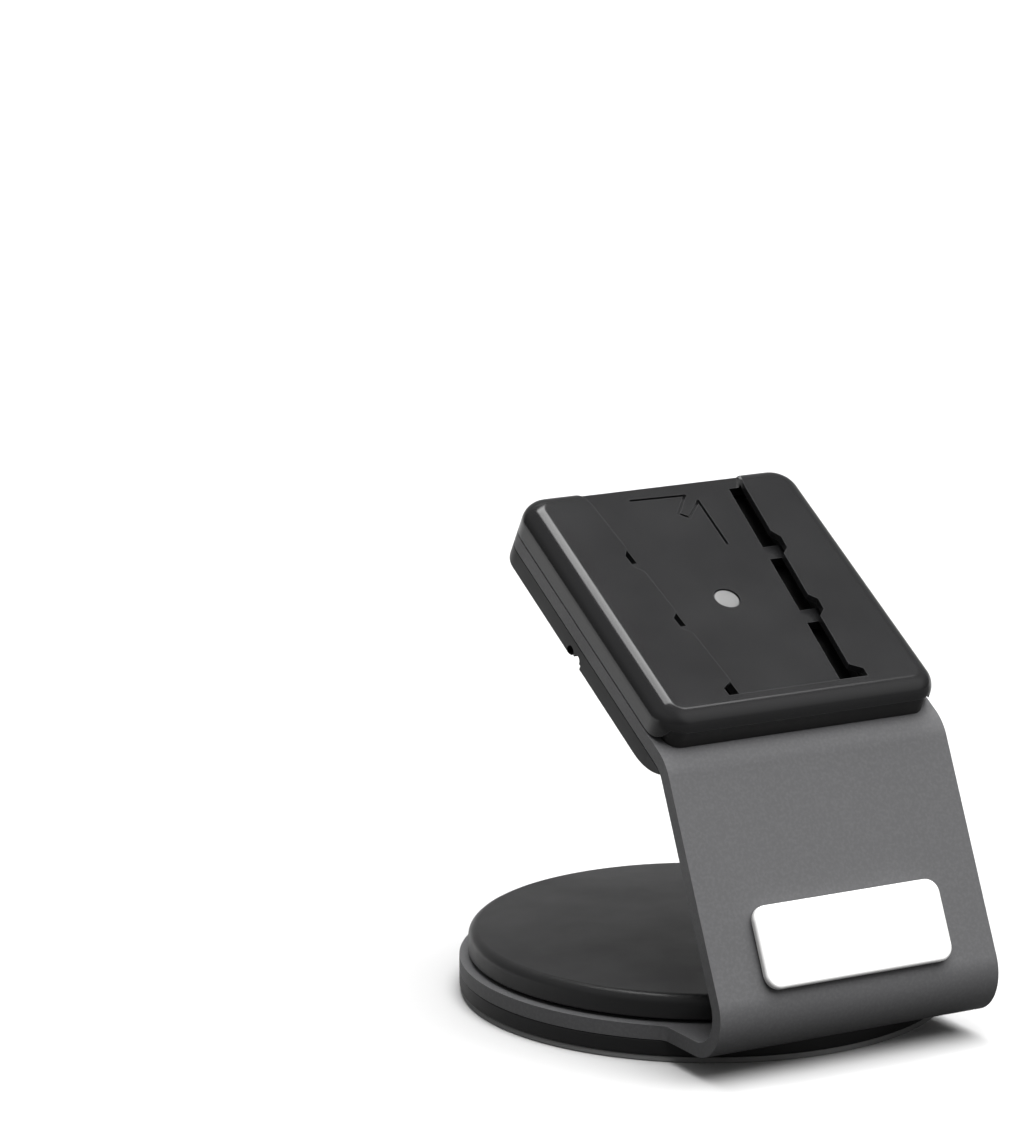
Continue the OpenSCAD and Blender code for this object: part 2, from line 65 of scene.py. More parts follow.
# ---------------------------------------------------------------- driving dimensions, mm
TILT_DEG, LEAN_DEG = 30, 25  # flange above horizontal, upright leg back from vertical
TILT, LEAN = math.radians(TILT_DEG), math.radians(LEAN_DEG)
HALF_WIDTH = round(span("dock_shell", 0)[1], 3)
SHEET = 3.0  # thickness of the bracket
UPPER_BEND, LOWER_BEND = 9.5, 9.0  # outer radii
FOOT_BOTTOM = span("bracket", 2)[0]
BASE_RADIUS = 49.6

# dock frame: v positions, then n heights
PIN_V = 37.0
SHELL_FRONT, PLATE_REAR = 2.8, 71.0
CHANNEL_FRONT = 8.3
PIN_MID_N = 2.25
SHELL_TOP, CHANNEL_FLOOR, SHELL_UNDERSIDE, LIP_TOP = 7.2, 4.7, 2.7, 5.8
BELLY_DEPTH = 7.5
PLATE_CORNER, SHELL_EDGE = 6.0, 4.0  # plan corner radius, radius of the shell's top edge
CHANNEL_SHIFT = 0.45  # of the channel to the right of the middle
DOCK_SCREWS = [(u, v) for u in (-25.5, 25.5) for v in (11, 63.5)]
CHASSIS_SCREWS = [(u, v) for u in (-7, 7) for v in (16, 58)]

# the fold line is found from the middle of the CAD lock pin
_low, _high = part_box("lock_pin")
_pin = (_low + _high) * 500.0
FOLD = Vector((0.0,
               _pin.y - PIN_V * math.cos(TILT) + PIN_MID_N * math.sin(TILT),
               _pin.z - PIN_V * math.sin(TILT) - PIN_MID_N * math.cos(TILT)))

MM_TO_M = Matrix.Scale(0.001, 4)
WORLD = Matrix.Identity(4)
DOCK = Matrix.Translation(FOLD) @ Matrix.Rotation(TILT, 4, "X")
# X across, Y up the upright leg from the fold line, Z out of its front
FACE = Matrix.Translation(FOLD) @ Matrix.Rotation(math.pi / 2 - LEAN, 4, "X")


# ---------------------------------------------------------------- outlines
def arc(cx, cy, radius, start, stop, steps):
    """Points of an arc, angles in degrees."""
    angles = [math.radians(start + (stop - start) * k / steps) for k in range(steps + 1)]
    return [(cx + radius * math.cos(a), cy + radius * math.sin(a)) for a in angles]


def both_sides(half):
    """A run of points followed by its mirror image in X, taken backwards."""
    return half + [(-x, *rest) for x, *rest in reversed(half)]


def rounded_ring(half_width, y0, y1, radius, z, inset=0.0, steps=14):
    """Rounded rectangle at height z, drawn in by inset."""
    x0, x1 = -half_width + radius, half_width - radius
    corners = ((x1, y0 + radius, -90), (x1, y1 - radius, 0),
               (x0, y1 - radius, 90), (x0, y0 + radius, 180))
    return [(x, y, z) for cx, cy, start in corners
            for x, y in arc(cx, cy, radius - inset, start, start + 90.0, steps)]


# ---------------------------------------------------------------- meshes
def add_mesh(name, verts, faces):
    mesh = bpy.data.meshes.new(name)
    mesh.from_pydata([tuple(v) for v in verts], [], faces)
    mesh.validate()
    ob = bpy.data.objects.new(name, mesh)
    scene.collection.objects.link(ob)
    return ob


def fix_normals(ob):
    bm = bmesh.new()
    bm.from_mesh(ob.data)
    bmesh.ops.recalc_face_normals(bm, faces=bm.faces)
    bm.to_mesh(ob.data)
    bm.free()


def side_faces(count, levels):
    """Quads joining a stack of rings, each of count vertices."""
    return [(k * count + i, k * count + (i + 1) % count,
             (k + 1) * count + (i + 1) % count, (k + 1) * count + i)
            for k in range(levels - 1) for i in range(count)]


def stack(name, rings):
    """Closed solid through a stack of rings."""
    count = len(rings[0])
    faces = side_faces(count, len(rings))
    faces.append(tuple(reversed(range(count))))
    faces.append(tuple((len(rings) - 1) * count + i for i in range(count)))
    return add_mesh(name, [p for ring in rings for p in ring], faces)


def prism(points, z0, z1):
    """Upright prism over a closed outline."""
    count = len(points)
    pairs = [(points[i], points[(i + 1) % count]) for i in range(count)]
    if sum(a[0] * b[1] - b[0] * a[1] for a, b in pairs) < 0:
        points = list(reversed(points))
    verts = [(x, y, z0) for x, y in points] + [(x, y, z1) for x, y in points]
    faces = [tuple(reversed(range(count))), tuple(range(count, 2 * count))]
    return add_mesh("cut", verts, faces + side_faces(count, 2))


def rounded_plate(name, half_width, y0, y1, corner, z0, z1, lower, upper, steps):
    """Plate with a chamfered lower edge and a rounded upper edge."""
    levels = [(lower, z0), (0.0, z0 + lower)]
    for k in range(steps + 1):
        a = math.radians(90 * k / steps)
        levels.append((upper * (1 - math.cos(a)), z1 - upper + upper * math.sin(a)))
    return stack(name, [rounded_ring(half_width, y0, y1, corner, z, inset)
                        for inset, z in levels])


def lathe(name, profile, segments):
    """Turned solid; profile is a run of (radius, z), closed or from axis to axis."""
    verts, faces, rows = [], [], []
    for r, z in profile:
        if r < 1e-6:
            rows.append([len(verts)])
            verts.append((0, 0, z))
        else:
            rows.append(list(range(len(verts), len(verts) + segments)))
            turns = [2 * math.pi * i / segments for i in range(segments)]
            verts += [(r * math.cos(a), r * math.sin(a), z) for a in turns]
    pairs = list(zip(rows, rows[1:]))
    if len(rows[0]) > 1 and len(rows[-1]) > 1:
        pairs.append((rows[-1], rows[0]))
    for a, b in pairs:
        for i in range(segments):
            j = (i + 1) % segments
            if len(a) == 1:
                faces.append((a[0], b[j], b[i]))
            elif len(b) == 1:
                faces.append((a[i], a[j], b[0]))
            else:
                faces.append((a[i], a[j], b[j], b[i]))
    ob = add_mesh(name, verts, faces)
    fix_normals(ob)
    return ob


# ---------------------------------------------------------------- cutting and finishing
def bake(ob):
    """Apply the modifiers."""
    bpy.context.view_layer.update()
    depsgraph = bpy.context.evaluated_depsgraph_get()
    mesh = bpy.data.meshes.new_from_object(ob.evaluated_get(depsgraph))
    ob.modifiers.clear()
    old = ob.data
    ob.data = mesh
    bpy.data.meshes.remove(old)


def cut(ob, cutter):
    """Take the cutter out of the object and delete the cutter."""
    boolean = ob.modifiers.new("bool", "BOOLEAN")
    boolean.operation = "DIFFERENCE"
    boolean.solver = "EXACT"
    boolean.object = cutter
    bake(ob)
    mesh = cutter.data
    bpy.data.objects.remove(cutter)
    bpy.data.meshes.remove(mesh)


def drill(ob, spot, radius, z0, z1, sides, matrix=WORLD):
    x, y = spot
    turns = [2 * math.pi * i / sides for i in range(sides)]
    cutter = prism([(x + radius * math.cos(a), y + radius * math.sin(a)) for a in turns], z0, z1)
    cutter.data.transform(matrix)
    cut(ob, cutter)


def countersink(ob, mouth_radius, hole_radius, face, depth, end, sides, matrix):
    """Conical seat opening downward at height face, then a hole up to height end."""
    mouth = face - 0.5
    cutter = lathe("cut", [(0, mouth), (mouth_radius, mouth), (hole_radius, face + depth),
                           (hole_radius, end), (0, end)], sides)
    cutter.data.transform(matrix)
    cut(ob, cutter)


def round_edges(ob, width, angle, segments):
    """Small real rounding on edges sharper than angle, in degrees."""
    bevel = ob.modifiers.new("edge", "BEVEL")
    bevel.width = width
    bevel.segments = segments
    bevel.limit_method = "ANGLE"
    bevel.angle_limit = math.radians(angle)
    bevel.use_clamp_overlap = True
    bevel.miter_outer = "MITER_ARC"
    bake(ob)


def smooth(ob, sharp=50):
    """Smooth shading that breaks at edges above sharp degrees."""
    bm = bmesh.new()
    bm.from_mesh(ob.data)
    bmesh.ops.remove_doubles(bm, verts=bm.verts, dist=1e-5)
    for face in bm.faces:
        face.smooth = True
    for edge in bm.edges:
        paired = len(edge.link_faces) == 2
        edge.smooth = not (paired and edge.calc_face_angle(0) > math.radians(sharp))
    bm.to_mesh(ob.data)
    bm.free()
    normals = ob.modifiers.new("normals", "WEIGHTED_NORMAL")
    normals.keep_sharp = True
    normals.weight = 60


def place(ob, matrix, body, slot, node):
    """Move a finished piece into the world, give it its material and body, and hide the CAD node
    it replaces.
    """
    ob.data.transform(MM_TO_M @ matrix)
    ob.data.materials.clear()
    ob.data.materials.append(MATERIALS[slot])
    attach(ob, body)
    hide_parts(node)


# ---------------------------------------------------------------- shader nodes
def add_node(tree, kind, inputs=None, **settings):
    """New node; an input is either a value or an output socket to link from."""
    made = tree.nodes.new(kind)
    for name, value in settings.items():
        setattr(made, name, value)
    for socket, value in (inputs or {}).items():
        if isinstance(value, bpy.types.NodeSocket):
            tree.links.new(value, made.inputs[socket])
        else:
            made.inputs[socket].default_value = value
    return made


def map_range(tree, value, source, target=(0.0, 1.0), **settings):
    return add_node(tree, "ShaderNodeMapRange", {
        "Value": value, "From Min": source[0], "From Max": source[1],
        "To Min": target[0], "To Max": target[1]}, **settings).outputs["Result"]


def mix_colour(tree, factor, a, b):
    return add_node(tree, "ShaderNodeMix", {"Factor": factor, "A": a, "B": b}, data_type="RGBA")


def math_node(tree, operation, *values, clamp=False):
    return add_node(tree, "ShaderNodeMath", dict(enumerate(values)),
                    operation=operation, use_clamp=clamp).outputs[0]


def noise(tree, vector, scale, detail, **inputs):
    return add_node(tree, "ShaderNodeTexNoise", {
        "Vector": vector, "Scale": scale, "Detail": detail, **inputs}).outputs["Fac"]


# ---------------------------------------------------------------- materials
def grey(tone):
    return (tone, tone, tone, 1)


def material(name, colour, rough, grain, metallic=0.0, specular=0.5, rough_swing=0.06,
             tone_swing=0.05, speck=None, edge=None, brushed=None):
    """Principled material with a broad cloudiness of tone and roughness.

    grain: cells per mm, bump height mm, strength
    speck: cells per mm, colour, amount
    edge: radius mm, colour, amount of the lighter edge tone, a painted highlight along the edges
    brushed: streak noise scale along each object axis, per mm
    """
    made = bpy.data.materials.new(name)
    made.use_nodes = True
    tree = made.node_tree
    tree.nodes.clear()
    place_mm = add_node(tree, "ShaderNodeMapping", {
        "Vector": add_node(tree, "ShaderNodeTexCoord").outputs["Object"],
        "Scale": (1000, 1000, 1000)}).outputs["Vector"]

    cloud = noise(tree, place_mm, scale=0.06, detail=4)
    roughness = map_range(tree, cloud, (0.3, 0.7), (rough - rough_swing, rough + rough_swing))
    tones = [(*[c * (1 + swing) for c in colour], 1) for swing in (-tone_swing, tone_swing)]
    tone = mix_colour(tree, cloud, *tones).outputs["Result"]
    if speck:
        cells, speck_colour, amount = speck
        spots = noise(tree, place_mm, scale=cells, detail=2)
        cover = map_range(tree, spots, (0.42, 0.68), (0.0, amount))
        tone = mix_colour(tree, cover, tone, (*speck_colour, 1)).outputs["Result"]
    # painted highlight: a lighter tone along the edges, standing in for the light the rounded
    # edges catch
    if edge:
        radius, edge_highlight_colour, amount = edge
        bevel = add_node(tree, "ShaderNodeBevel", {"Radius": radius * 0.001}, samples=4)
        geometry = add_node(tree, "ShaderNodeNewGeometry")
        flatness = add_node(tree, "ShaderNodeVectorMath", {
            0: bevel.outputs["Normal"], 1: geometry.outputs["Normal"]}, operation="DOT_PRODUCT")
        cover = map_range(tree, flatness.outputs["Value"], (0.995, 0.9), (0.0, amount))
        tone = mix_colour(tree, cover, tone, (*edge_highlight_colour, 1)).outputs["Result"]

    cells, height, strength = grain
    grains = noise(tree, place_mm, scale=cells, detail=3, Roughness=0.55)
    normal = add_node(tree, "ShaderNodeBump", {
        "Height": grains, "Distance": height * 0.001, "Strength": strength}).outputs["Normal"]
    if brushed:
        stretched = add_node(tree, "ShaderNodeMapping", {"Vector": place_mm, "Scale": brushed})
        streaks = noise(tree, stretched.outputs["Vector"], scale=1.0, detail=4)
        normal = add_node(tree, "ShaderNodeBump", {
            "Height": streaks, "Distance": 0.00002, "Strength": 0.5,
            "Normal": normal}).outputs["Normal"]
        streak_roughness = 0.18
        roughness = math_node(tree, "MULTIPLY_ADD", streaks, streak_roughness, roughness)

    surface = add_node(tree, "ShaderNodeBsdfPrincipled", {
        "Base Color": tone, "Roughness": roughness, "Normal": normal,
        "Metallic": metallic, "Specular IOR Level": specular})
    add_node(tree, "ShaderNodeOutputMaterial", {0: surface.outputs[0]})
    return made


# the edge entries paint a lighter tone along the edges as a highlight
LOOKS = {
    "dock_black": dict(
        colour=(0.0125, 0.0125, 0.013), rough=0.16, specular=0.52, grain=(3.0, 0.004, 0.12),
        rough_swing=0.03, edge=(0.25, (0.07, 0.07, 0.072), 0.5)),
    "belly_black": dict(
        colour=(0.013, 0.013, 0.0135), rough=0.36, specular=0.2, grain=(4.0, 0.01, 0.25),
        edge=(0.3, (0.05, 0.05, 0.05), 0.4)),
    "chassis_black": dict(
        colour=(0.010, 0.010, 0.010), rough=0.5, grain=(4.0, 0.01, 0.3)),
    "bracket_paint": dict(
        colour=(0.103, 0.103, 0.106), rough=0.48, specular=0.42, grain=(2.4, 0.03, 0.28),
        speck=(1.6, (0.17, 0.17, 0.174), 0.22), edge=(0.35, (0.15, 0.15, 0.15), 0.3)),
    "base_black": dict(
        colour=(0.012, 0.012, 0.0125), rough=0.42, specular=0.4, grain=(3.0, 0.02, 0.25),
        edge=(0.3, (0.06, 0.06, 0.06), 0.4)),
    "cap_black": dict(
        colour=(0.013, 0.013, 0.0135), rough=0.36, grain=(3.5, 0.012, 0.25),
        edge=(0.4, (0.04, 0.04, 0.04), 0.3)),
    "pad": dict(
        colour=(0.24, 0.24, 0.24), rough=0.55, grain=(2.0, 0.02, 0.3)),
    "ring": dict(
        colour=(0.75, 0.75, 0.73), rough=0.5, grain=(2.0, 0.01, 0.2)),
    "zinc": dict(
        colour=(0.58, 0.58, 0.56), rough=0.34, metallic=1.0, grain=(3.0, 0.006, 0.2),
        brushed=(0.4, 6.0, 0.4)),
    "steel": dict(
        colour=(0.48, 0.48, 0.49), rough=0.4, metallic=1.0, grain=(2.0, 0.006, 0.2),
        brushed=(5.0, 0.4, 0.4)),
    "brass": dict(
        colour=(0.66, 0.48, 0.22), rough=0.32, metallic=1.0, grain=(3.0, 0.005, 0.2)),
    "foam": dict(
        colour=(0.78, 0.78, 0.76), rough=0.85, grain=(1.5, 0.06, 0.6)),
    "badge_white": dict(
        colour=(0.90, 0.90, 0.89), rough=0.35, grain=(1.2, 0.01, 0.1), rough_swing=0.04,
        tone_swing=0.01),
    "pin_metal": dict(
        colour=(0.205, 0.205, 0.205), rough=0.42, metallic=0.25, grain=(6.0, 0.006, 0.3)),
}
MATERIALS = {name: material(name, **look) for name, look in LOOKS.items()}


# ---------------------------------------------------------------- dock shell
ABOVE_SHELL = SHELL_TOP + 2  # where cutters that open upward end
LIP_REAR, LIP_WIDTH = 67.7, 2.8
FLARE_START = 65
# widening of the channel toward its open rear end: extra half width, v
FLARE = [(0, FLARE_START), (0.25, 66.5), (0.75, 68.2), (1.6, 70), (1.6, 73)]
# slots along each side of the channel floor: v from, v to
SIDE_SLOTS = [(10.45, 27.2), (30.85, 46.2), (49.8, LIP_REAR)]
# notches in the channel walls: v where one starts, is full, is still full, ends; then depth
WALL_NOTCHES = [
    (44.9, 46.5, 49.8, 51.7, 1.5),
    (26.3, 28.0, 31.0, 32.6, 1.6),
    (CHANNEL_FRONT, CHANNEL_FRONT + 0.01, 10.4, 12.1, 2.7),
]
# line engraved in the channel floor: u, v
GROOVE = [(-6.5, 67.7), (5.9, 67.35), (1.9, 62.4), (3.75, 60.9), (8.05, 65.3), (8.0, 52.3)]
GROOVE_HALF_WIDTH, GROOVE_DEPTH = 0.3, 0.7
# left half of the opening in the front wall: u, n
FRONT_OPENING = [(-32.5, -1), (-32.5, 0), (-31.4, 0.85), (-30.7, 1.8), (-29.75, 3.9)]


def channel_half(v):
    """Half width of the channel between its walls."""
    return 13.25 + (v - CHANNEL_FRONT) * math.tan(math.radians(4.67))


def slot_inner(v):
    """Distance of a side slot's inner edge from the middle of the channel."""
    return 11.6 + (v - 10.6) * 0.0795


def cut_channel(ob, points, n0, n1):
    """Cut an outline given about the middle line of the channel."""
    cut(ob, prism([(u + CHANNEL_SHIFT, v) for u, v in points], n0, n1))


def cut_across_channel(ob, right, n0, n1):
    """Cut a symmetrical outline, given as its right half from front to rear."""
    outline = both_sides(right)
    cut_channel(ob, outline[-1:] + outline[:-1], n0, n1)


def cut_channel_sides(ob):
    for side in (-1, 1):
        for v0, v1 in SIDE_SLOTS:
            cut_channel(ob, [(side * slot_inner(v0), v0), (side * (channel_half(v0) + 2.6), v0),
                             (side * (channel_half(v1) + 2.6), v1), (side * slot_inner(v1), v1)],
                        SHELL_UNDERSIDE - 1, CHANNEL_FLOOR + 0.4)
        for v0, v1, v2, v3, depth in WALL_NOTCHES:
            corners = [(-1, v0), (0, v0), (depth, v1), (depth, v2), (0, v3), (-1, v3)]
            cut_channel(ob, [(side * (channel_half(v) + out), v) for out, v in corners],
                        CHANNEL_FLOOR, ABOVE_SHELL)


def engrave_groove(ob):
    points = [Vector(p) for p in GROOVE]
    for a, b in zip(points, points[1:]):
        along = (b - a).normalized()
        aside = Vector((-along.y, along.x)) * GROOVE_HALF_WIDTH
        start, stop = a - along * GROOVE_HALF_WIDTH, b + along * GROOVE_HALF_WIDTH
        quad = [start + aside, stop + aside, stop - aside, start - aside]
        cut(ob, prism([(p.x, p.y) for p in quad],
                      CHANNEL_FLOOR - GROOVE_DEPTH, CHANNEL_FLOOR + 0.6))


def dock_shell():
    ob = rounded_plate("Dock_Upper", HALF_WIDTH, SHELL_FRONT, PLATE_REAR, PLATE_CORNER,
                       z0=0.25, z1=SHELL_TOP, lower=0.12, upper=SHELL_EDGE, steps=12)
    wall = 2
    cut(ob, stack("cut", [rounded_ring(30, SHELL_FRONT + wall, PLATE_REAR - wall,
                                       PLATE_CORNER - wall, n, steps=8)
                          for n in (-1, SHELL_UNDERSIDE)]))
    front, flare = channel_half(CHANNEL_FRONT), channel_half(FLARE_START)
    cut_across_channel(ob, [(front, CHANNEL_FRONT)] + [(flare + out, v) for out, v in FLARE],
                       CHANNEL_FLOOR, ABOVE_SHELL)
    # undercut below the lips along the channel
    cut_across_channel(ob, [(front + LIP_WIDTH, CHANNEL_FRONT),
                            (channel_half(LIP_REAR) + LIP_WIDTH, LIP_REAR)],
                       CHANNEL_FLOOR, LIP_TOP)
    cut_channel_sides(ob)
    drill(ob, (0, PIN_V), 2.78, 0, SHELL_TOP, sides=48)
    engrave_groove(ob)
    # opening in the front wall over the chassis beam, v 1.8 to 8.6
    opening = prism(both_sides(FRONT_OPENING), -1.8, -8.6)
    opening.data.transform(Matrix.Rotation(math.pi / 2, 4, "X"))
    fix_normals(opening)
    cut(ob, opening)
    round_edges(ob, 0.13, angle=38, segments=2)
    smooth(ob)
    place(ob, DOCK, "stand", "dock_black", "dock_shell")


# ---------------------------------------------------------------- bracket
FOOT_FILLET = 3.0  # where the sheet's sides run into the round foot
BALLAST_SCREW_RADIUS = 30


def bend(centre, radius, start, stop, steps):
    """Outer and inner points of a bend in the sheet, in (y, z), angles in degrees."""
    pairs = []
    for k in range(steps + 1):
        a = math.radians(start + (stop - start) * k / steps)
        out = Vector((math.cos(a), math.sin(a)))
        pairs.append((centre + radius * out, centre + (radius - SHEET) * out))
    return pairs


def bends():
    """Stations up the sheet, from the foot to the flange."""
    up = Vector((math.sin(LEAN), math.cos(LEAN)))
    front = Vector((-math.cos(LEAN), math.sin(LEAN)))
    fold = Vector((FOLD.y, FOLD.z))
    upper_tangent = UPPER_BEND * math.tan((math.pi / 2 - LEAN - TILT) / 2)
    upper_centre = fold - upper_tangent * up - UPPER_BEND * front
    foot_line = fold - up * ((fold.y - FOOT_BOTTOM) / math.cos(LEAN))
    lower_tangent = LOWER_BEND * math.tan((math.pi / 2 + LEAN) / 2)
    lower_centre = foot_line + Vector((lower_tangent, 0)) + Vector((0, LOWER_BEND))
    leg = 180 - LEAN_DEG
    return (bend(lower_centre, LOWER_BEND, 270, leg, 28)
            + bend(upper_centre, UPPER_BEND, leg, 90 + TILT_DEG, 14))


def foot_outline():
    """From the left end of the lower bend, round the back, to its right end."""
    reach = HALF_WIDTH + FOOT_FILLET
    y = -math.sqrt((BASE_RADIUS + FOOT_FILLET) ** 2 - reach ** 2)
    fillet = arc(-reach, y, FOOT_FILLET, 0.0, math.degrees(math.atan2(-y, reach)), 8)
    stop = math.atan2(y, reach)  # right tangent on the disc
    start = math.pi - stop
    steps = 150
    turns = [start + (stop - start) * k / steps for k in range(1, steps)]
    disc = [(BASE_RADIUS * math.cos(a), BASE_RADIUS * math.sin(a)) for a in turns]
    return fillet + disc + [(-x, y) for x, y in reversed(fillet)]


def flange_outline():
    """u, v from the left end of the upper bend, round the rear corners, to its right end."""
    return both_sides(arc(-HALF_WIDTH + PLATE_CORNER, PLATE_REAR - PLATE_CORNER, PLATE_CORNER,
                          180, 90, 14))


def sheet_solid():
    verts = []
    stations = bends()
    for outer, inner in stations:
        verts += [(-HALF_WIDTH, outer.x, outer.y), (HALF_WIDTH, outer.x, outer.y),
                  (HALF_WIDTH, inner.x, inner.y), (-HALF_WIDTH, inner.x, inner.y)]
    faces = side_faces(4, len(stations))

    def add_plate(row, pairs):
        """Flat plate from the bend row starting at vertex row, through outer/inner pairs."""
        first = len(verts)
        for pair in pairs:
            verts.extend(pair)
        outer = [row, *range(first, len(verts), 2), row + 1]
        inner = [row + 3, *range(first + 1, len(verts), 2), row + 2]
        faces.append(tuple(outer))
        faces.append(tuple(reversed(inner)))
        for k in range(len(outer) - 1):
            faces.append((outer[k], inner[k], inner[k + 1], outer[k + 1]))

    add_plate(0, [((x, y, FOOT_BOTTOM), (x, y, FOOT_BOTTOM + SHEET)) for x, y in foot_outline()])
    fold = Vector((FOLD.y, FOLD.z))
    along = Vector((math.cos(TILT), math.sin(TILT)))
    square = Vector((-math.sin(TILT), math.cos(TILT)))
    flange = []
    for u, v in flange_outline():
        top = fold + v * along
        under = top - SHEET * square
        flange.append(((u, top.x, top.y), (u, under.x, under.y)))
    add_plate(4 * (len(stations) - 1), flange)
    ob = add_mesh("Bracket_Sheet", verts, faces)
    fix_normals(ob)
    return ob


def bracket():
    ob = sheet_solid()
    foot_top = FOOT_BOTTOM + SHEET
    # pivot hole and ballast screw seats in the foot
    drill(ob, (0, 0), 6, FOOT_BOTTOM - 1, foot_top + 1, sides=72)
    for k in range(4):
        countersink(ob, mouth_radius=4.55, hole_radius=2.1, face=FOOT_BOTTOM, depth=1.95,
                    end=foot_top + 0.5, sides=40,
                    matrix=Matrix.Rotation(math.radians(45 + 90 * k), 4, "Z")
                    @ Matrix.Translation((BALLAST_SCREW_RADIUS, 0, 0)))
    # holes for the dock screws, chassis screws and lock barrel in the flange
    for spot in DOCK_SCREWS:
        drill(ob, spot, 1.7, -5, 2, sides=36, matrix=DOCK)
    for u, v in CHASSIS_SCREWS:
        countersink(ob, mouth_radius=3.76, hole_radius=1.6, face=-SHEET, depth=1.65, end=1,
                    sides=36, matrix=DOCK @ Matrix.Translation((u, v, 0)))
    drill(ob, (0, PIN_V), 6.1, -5, 2, sides=72, matrix=DOCK)
    round_edges(ob, 0.4, angle=50, segments=3)
    smooth(ob, sharp=55)
    place(ob, WORLD, "stand", "bracket_paint", "bracket")


# ---------------------------------------------------------------- belly cover
BELLY_TOP, BELLY_BOTTOM = -3.02, -BELLY_DEPTH
BELLY_TIP, BELLY_FLAT = 0.72, 10.3  # v of the front tip, v where the underside goes flat
BELLY_CURVE = 15.0  # radius of the underside ahead of that
BELLY_EDGE, BELLY_CHAMFER = 0.9, 0.12
BEND_V = 3.0  # rear end of the top's curve round the bracket's upper bend
BEND_FIT = UPPER_BEND - SHEET - 0.1
# holes bored in from the left edge: radius, v, n
EDGE_HOLES = [(1.1, 35.9, -6), (1.35, 38.6, -6.2)]


def belly_top(v):
    return -UPPER_BEND + math.sqrt(BEND_FIT * BEND_FIT - max(0.0, BEND_V - v) ** 2)


def belly_bottom(v):
    ahead = max(0.0, BELLY_FLAT - v)
    return -BELLY_DEPTH + BELLY_CURVE - math.sqrt(BELLY_CURVE * BELLY_CURVE - ahead ** 2)


def belly_solid():
    corner_u, corner_v = -HALF_WIDTH + PLATE_CORNER, PLATE_REAR - PLATE_CORNER
    # left half of the outline, front to rear, then the rear corner
    left = [(-HALF_WIDTH, BELLY_TIP + (BELLY_FLAT - BELLY_TIP) * (k / 14.0) ** 1.4)
            for k in range(15)]
    left += [(-HALF_WIDTH, v) for v in (20, 30, 34, 41, 50, 60)]
    left += arc(corner_u, corner_v, PLATE_CORNER, 180, 90, 10)

    def ring(inset, level):
        points = []
        depth = (BELLY_TOP - level) / (BELLY_TOP - BELLY_BOTTOM)
        for u, v in left:
            if v <= corner_v:
                u += inset
            else:
                shrink = (PLATE_CORNER - inset) / PLATE_CORNER
                u = corner_u + (u - corner_u) * shrink
                v = corner_v + (v - corner_v) * shrink
            points.append((u, v, belly_top(v) + (belly_bottom(v) - belly_top(v)) * depth))
        return both_sides(points)

    rings = [ring(BELLY_CHAMFER, BELLY_TOP), ring(0.0, BELLY_TOP - BELLY_CHAMFER)]
    for k in range(7):
        a = math.radians(90 * k / 6)
        rings.append(ring(BELLY_EDGE * (1 - math.cos(a)),
                          BELLY_BOTTOM + BELLY_EDGE - BELLY_EDGE * math.sin(a)))
    count = len(rings[0])
    faces = side_faces(count, len(rings))
    # top and bottom are strips of quads from side to side, so that they can curve
    for base, step in ((0, -1), ((len(rings) - 1) * count, 1)):
        for i in range(count // 2 - 1):
            quad = (base + i, base + i + 1, base + count - 2 - i, base + count - 1 - i)
            faces.append(quad[::step])
    ob = add_mesh("Belly_Cover", [p for points in rings for p in points], faces)
    fix_normals(ob)
    return ob


def belly_cover():
    ob = belly_solid()
    # notch in the left edge
    edge_from, edge_to = -34, -29.6
    cut(ob, prism([(edge_from, 34.2), (edge_to, 34.2), (edge_to, 38.3), (edge_from, 38.3)],
                  -12, -6))
    for radius, v, n in EDGE_HOLES:
        drill(ob, (0, 0), radius, edge_from, edge_to, sides=24,
              matrix=Matrix.Translation((0, v, n)) @ Matrix.Rotation(math.pi / 2, 4, "Y"))
    for spot in DOCK_SCREWS:
        drill(ob, spot, 3.1, -12, -4.9, sides=40)
    drill(ob, (0, PIN_V), 5.9, -12, -2, sides=56)
    round_edges(ob, 0.15, angle=45, segments=2)
    smooth(ob)
    place(ob, DOCK, "stand", "belly_black", "belly_cover")


# ---------------------------------------------------------------- base, turned about Z
def anti_slip_pad():
    z0, z1 = span("anti_slip_pad", 2)
    radius, edge = 49.3, 0.3
    ob = lathe("Anti_Slip_Pad", [(0, z0), *arc(radius - edge, z0 + edge, edge, -90, 0, 4),
                                 *arc(radius - edge, z1 - edge, edge, 0, 90, 4), (0, z1)], 192)
    smooth(ob)
    place(ob, WORLD, "base", "pad", "anti_slip_pad")


def base_disc():
    z0, z1 = span("base_disc", 2)
    edge = 0.35
    bore, recess, recess_depth = 4.02, 9.1, 1.9  # recess round the bore, underneath
    groove_inner, groove_outer, groove_depth = 40.9, 45.1, 1  # ring groove on top
    ob = lathe("Base_Disc", [
        (bore, z0 + recess_depth), (recess, z0 + recess_depth), (recess, z0),
        *arc(BASE_RADIUS - edge, z0 + edge, edge, -90, 0, 3),
        *arc(BASE_RADIUS - edge, z1 - edge, edge, 0, 90, 3),
        (groove_outer, z1), (groove_outer, z1 - groove_depth),
        (groove_inner, z1 - groove_depth), (groove_inner, z1), (bore, z1)], 192)
    smooth(ob)
    place(ob, WORLD, "base", "base_black", "base_disc")


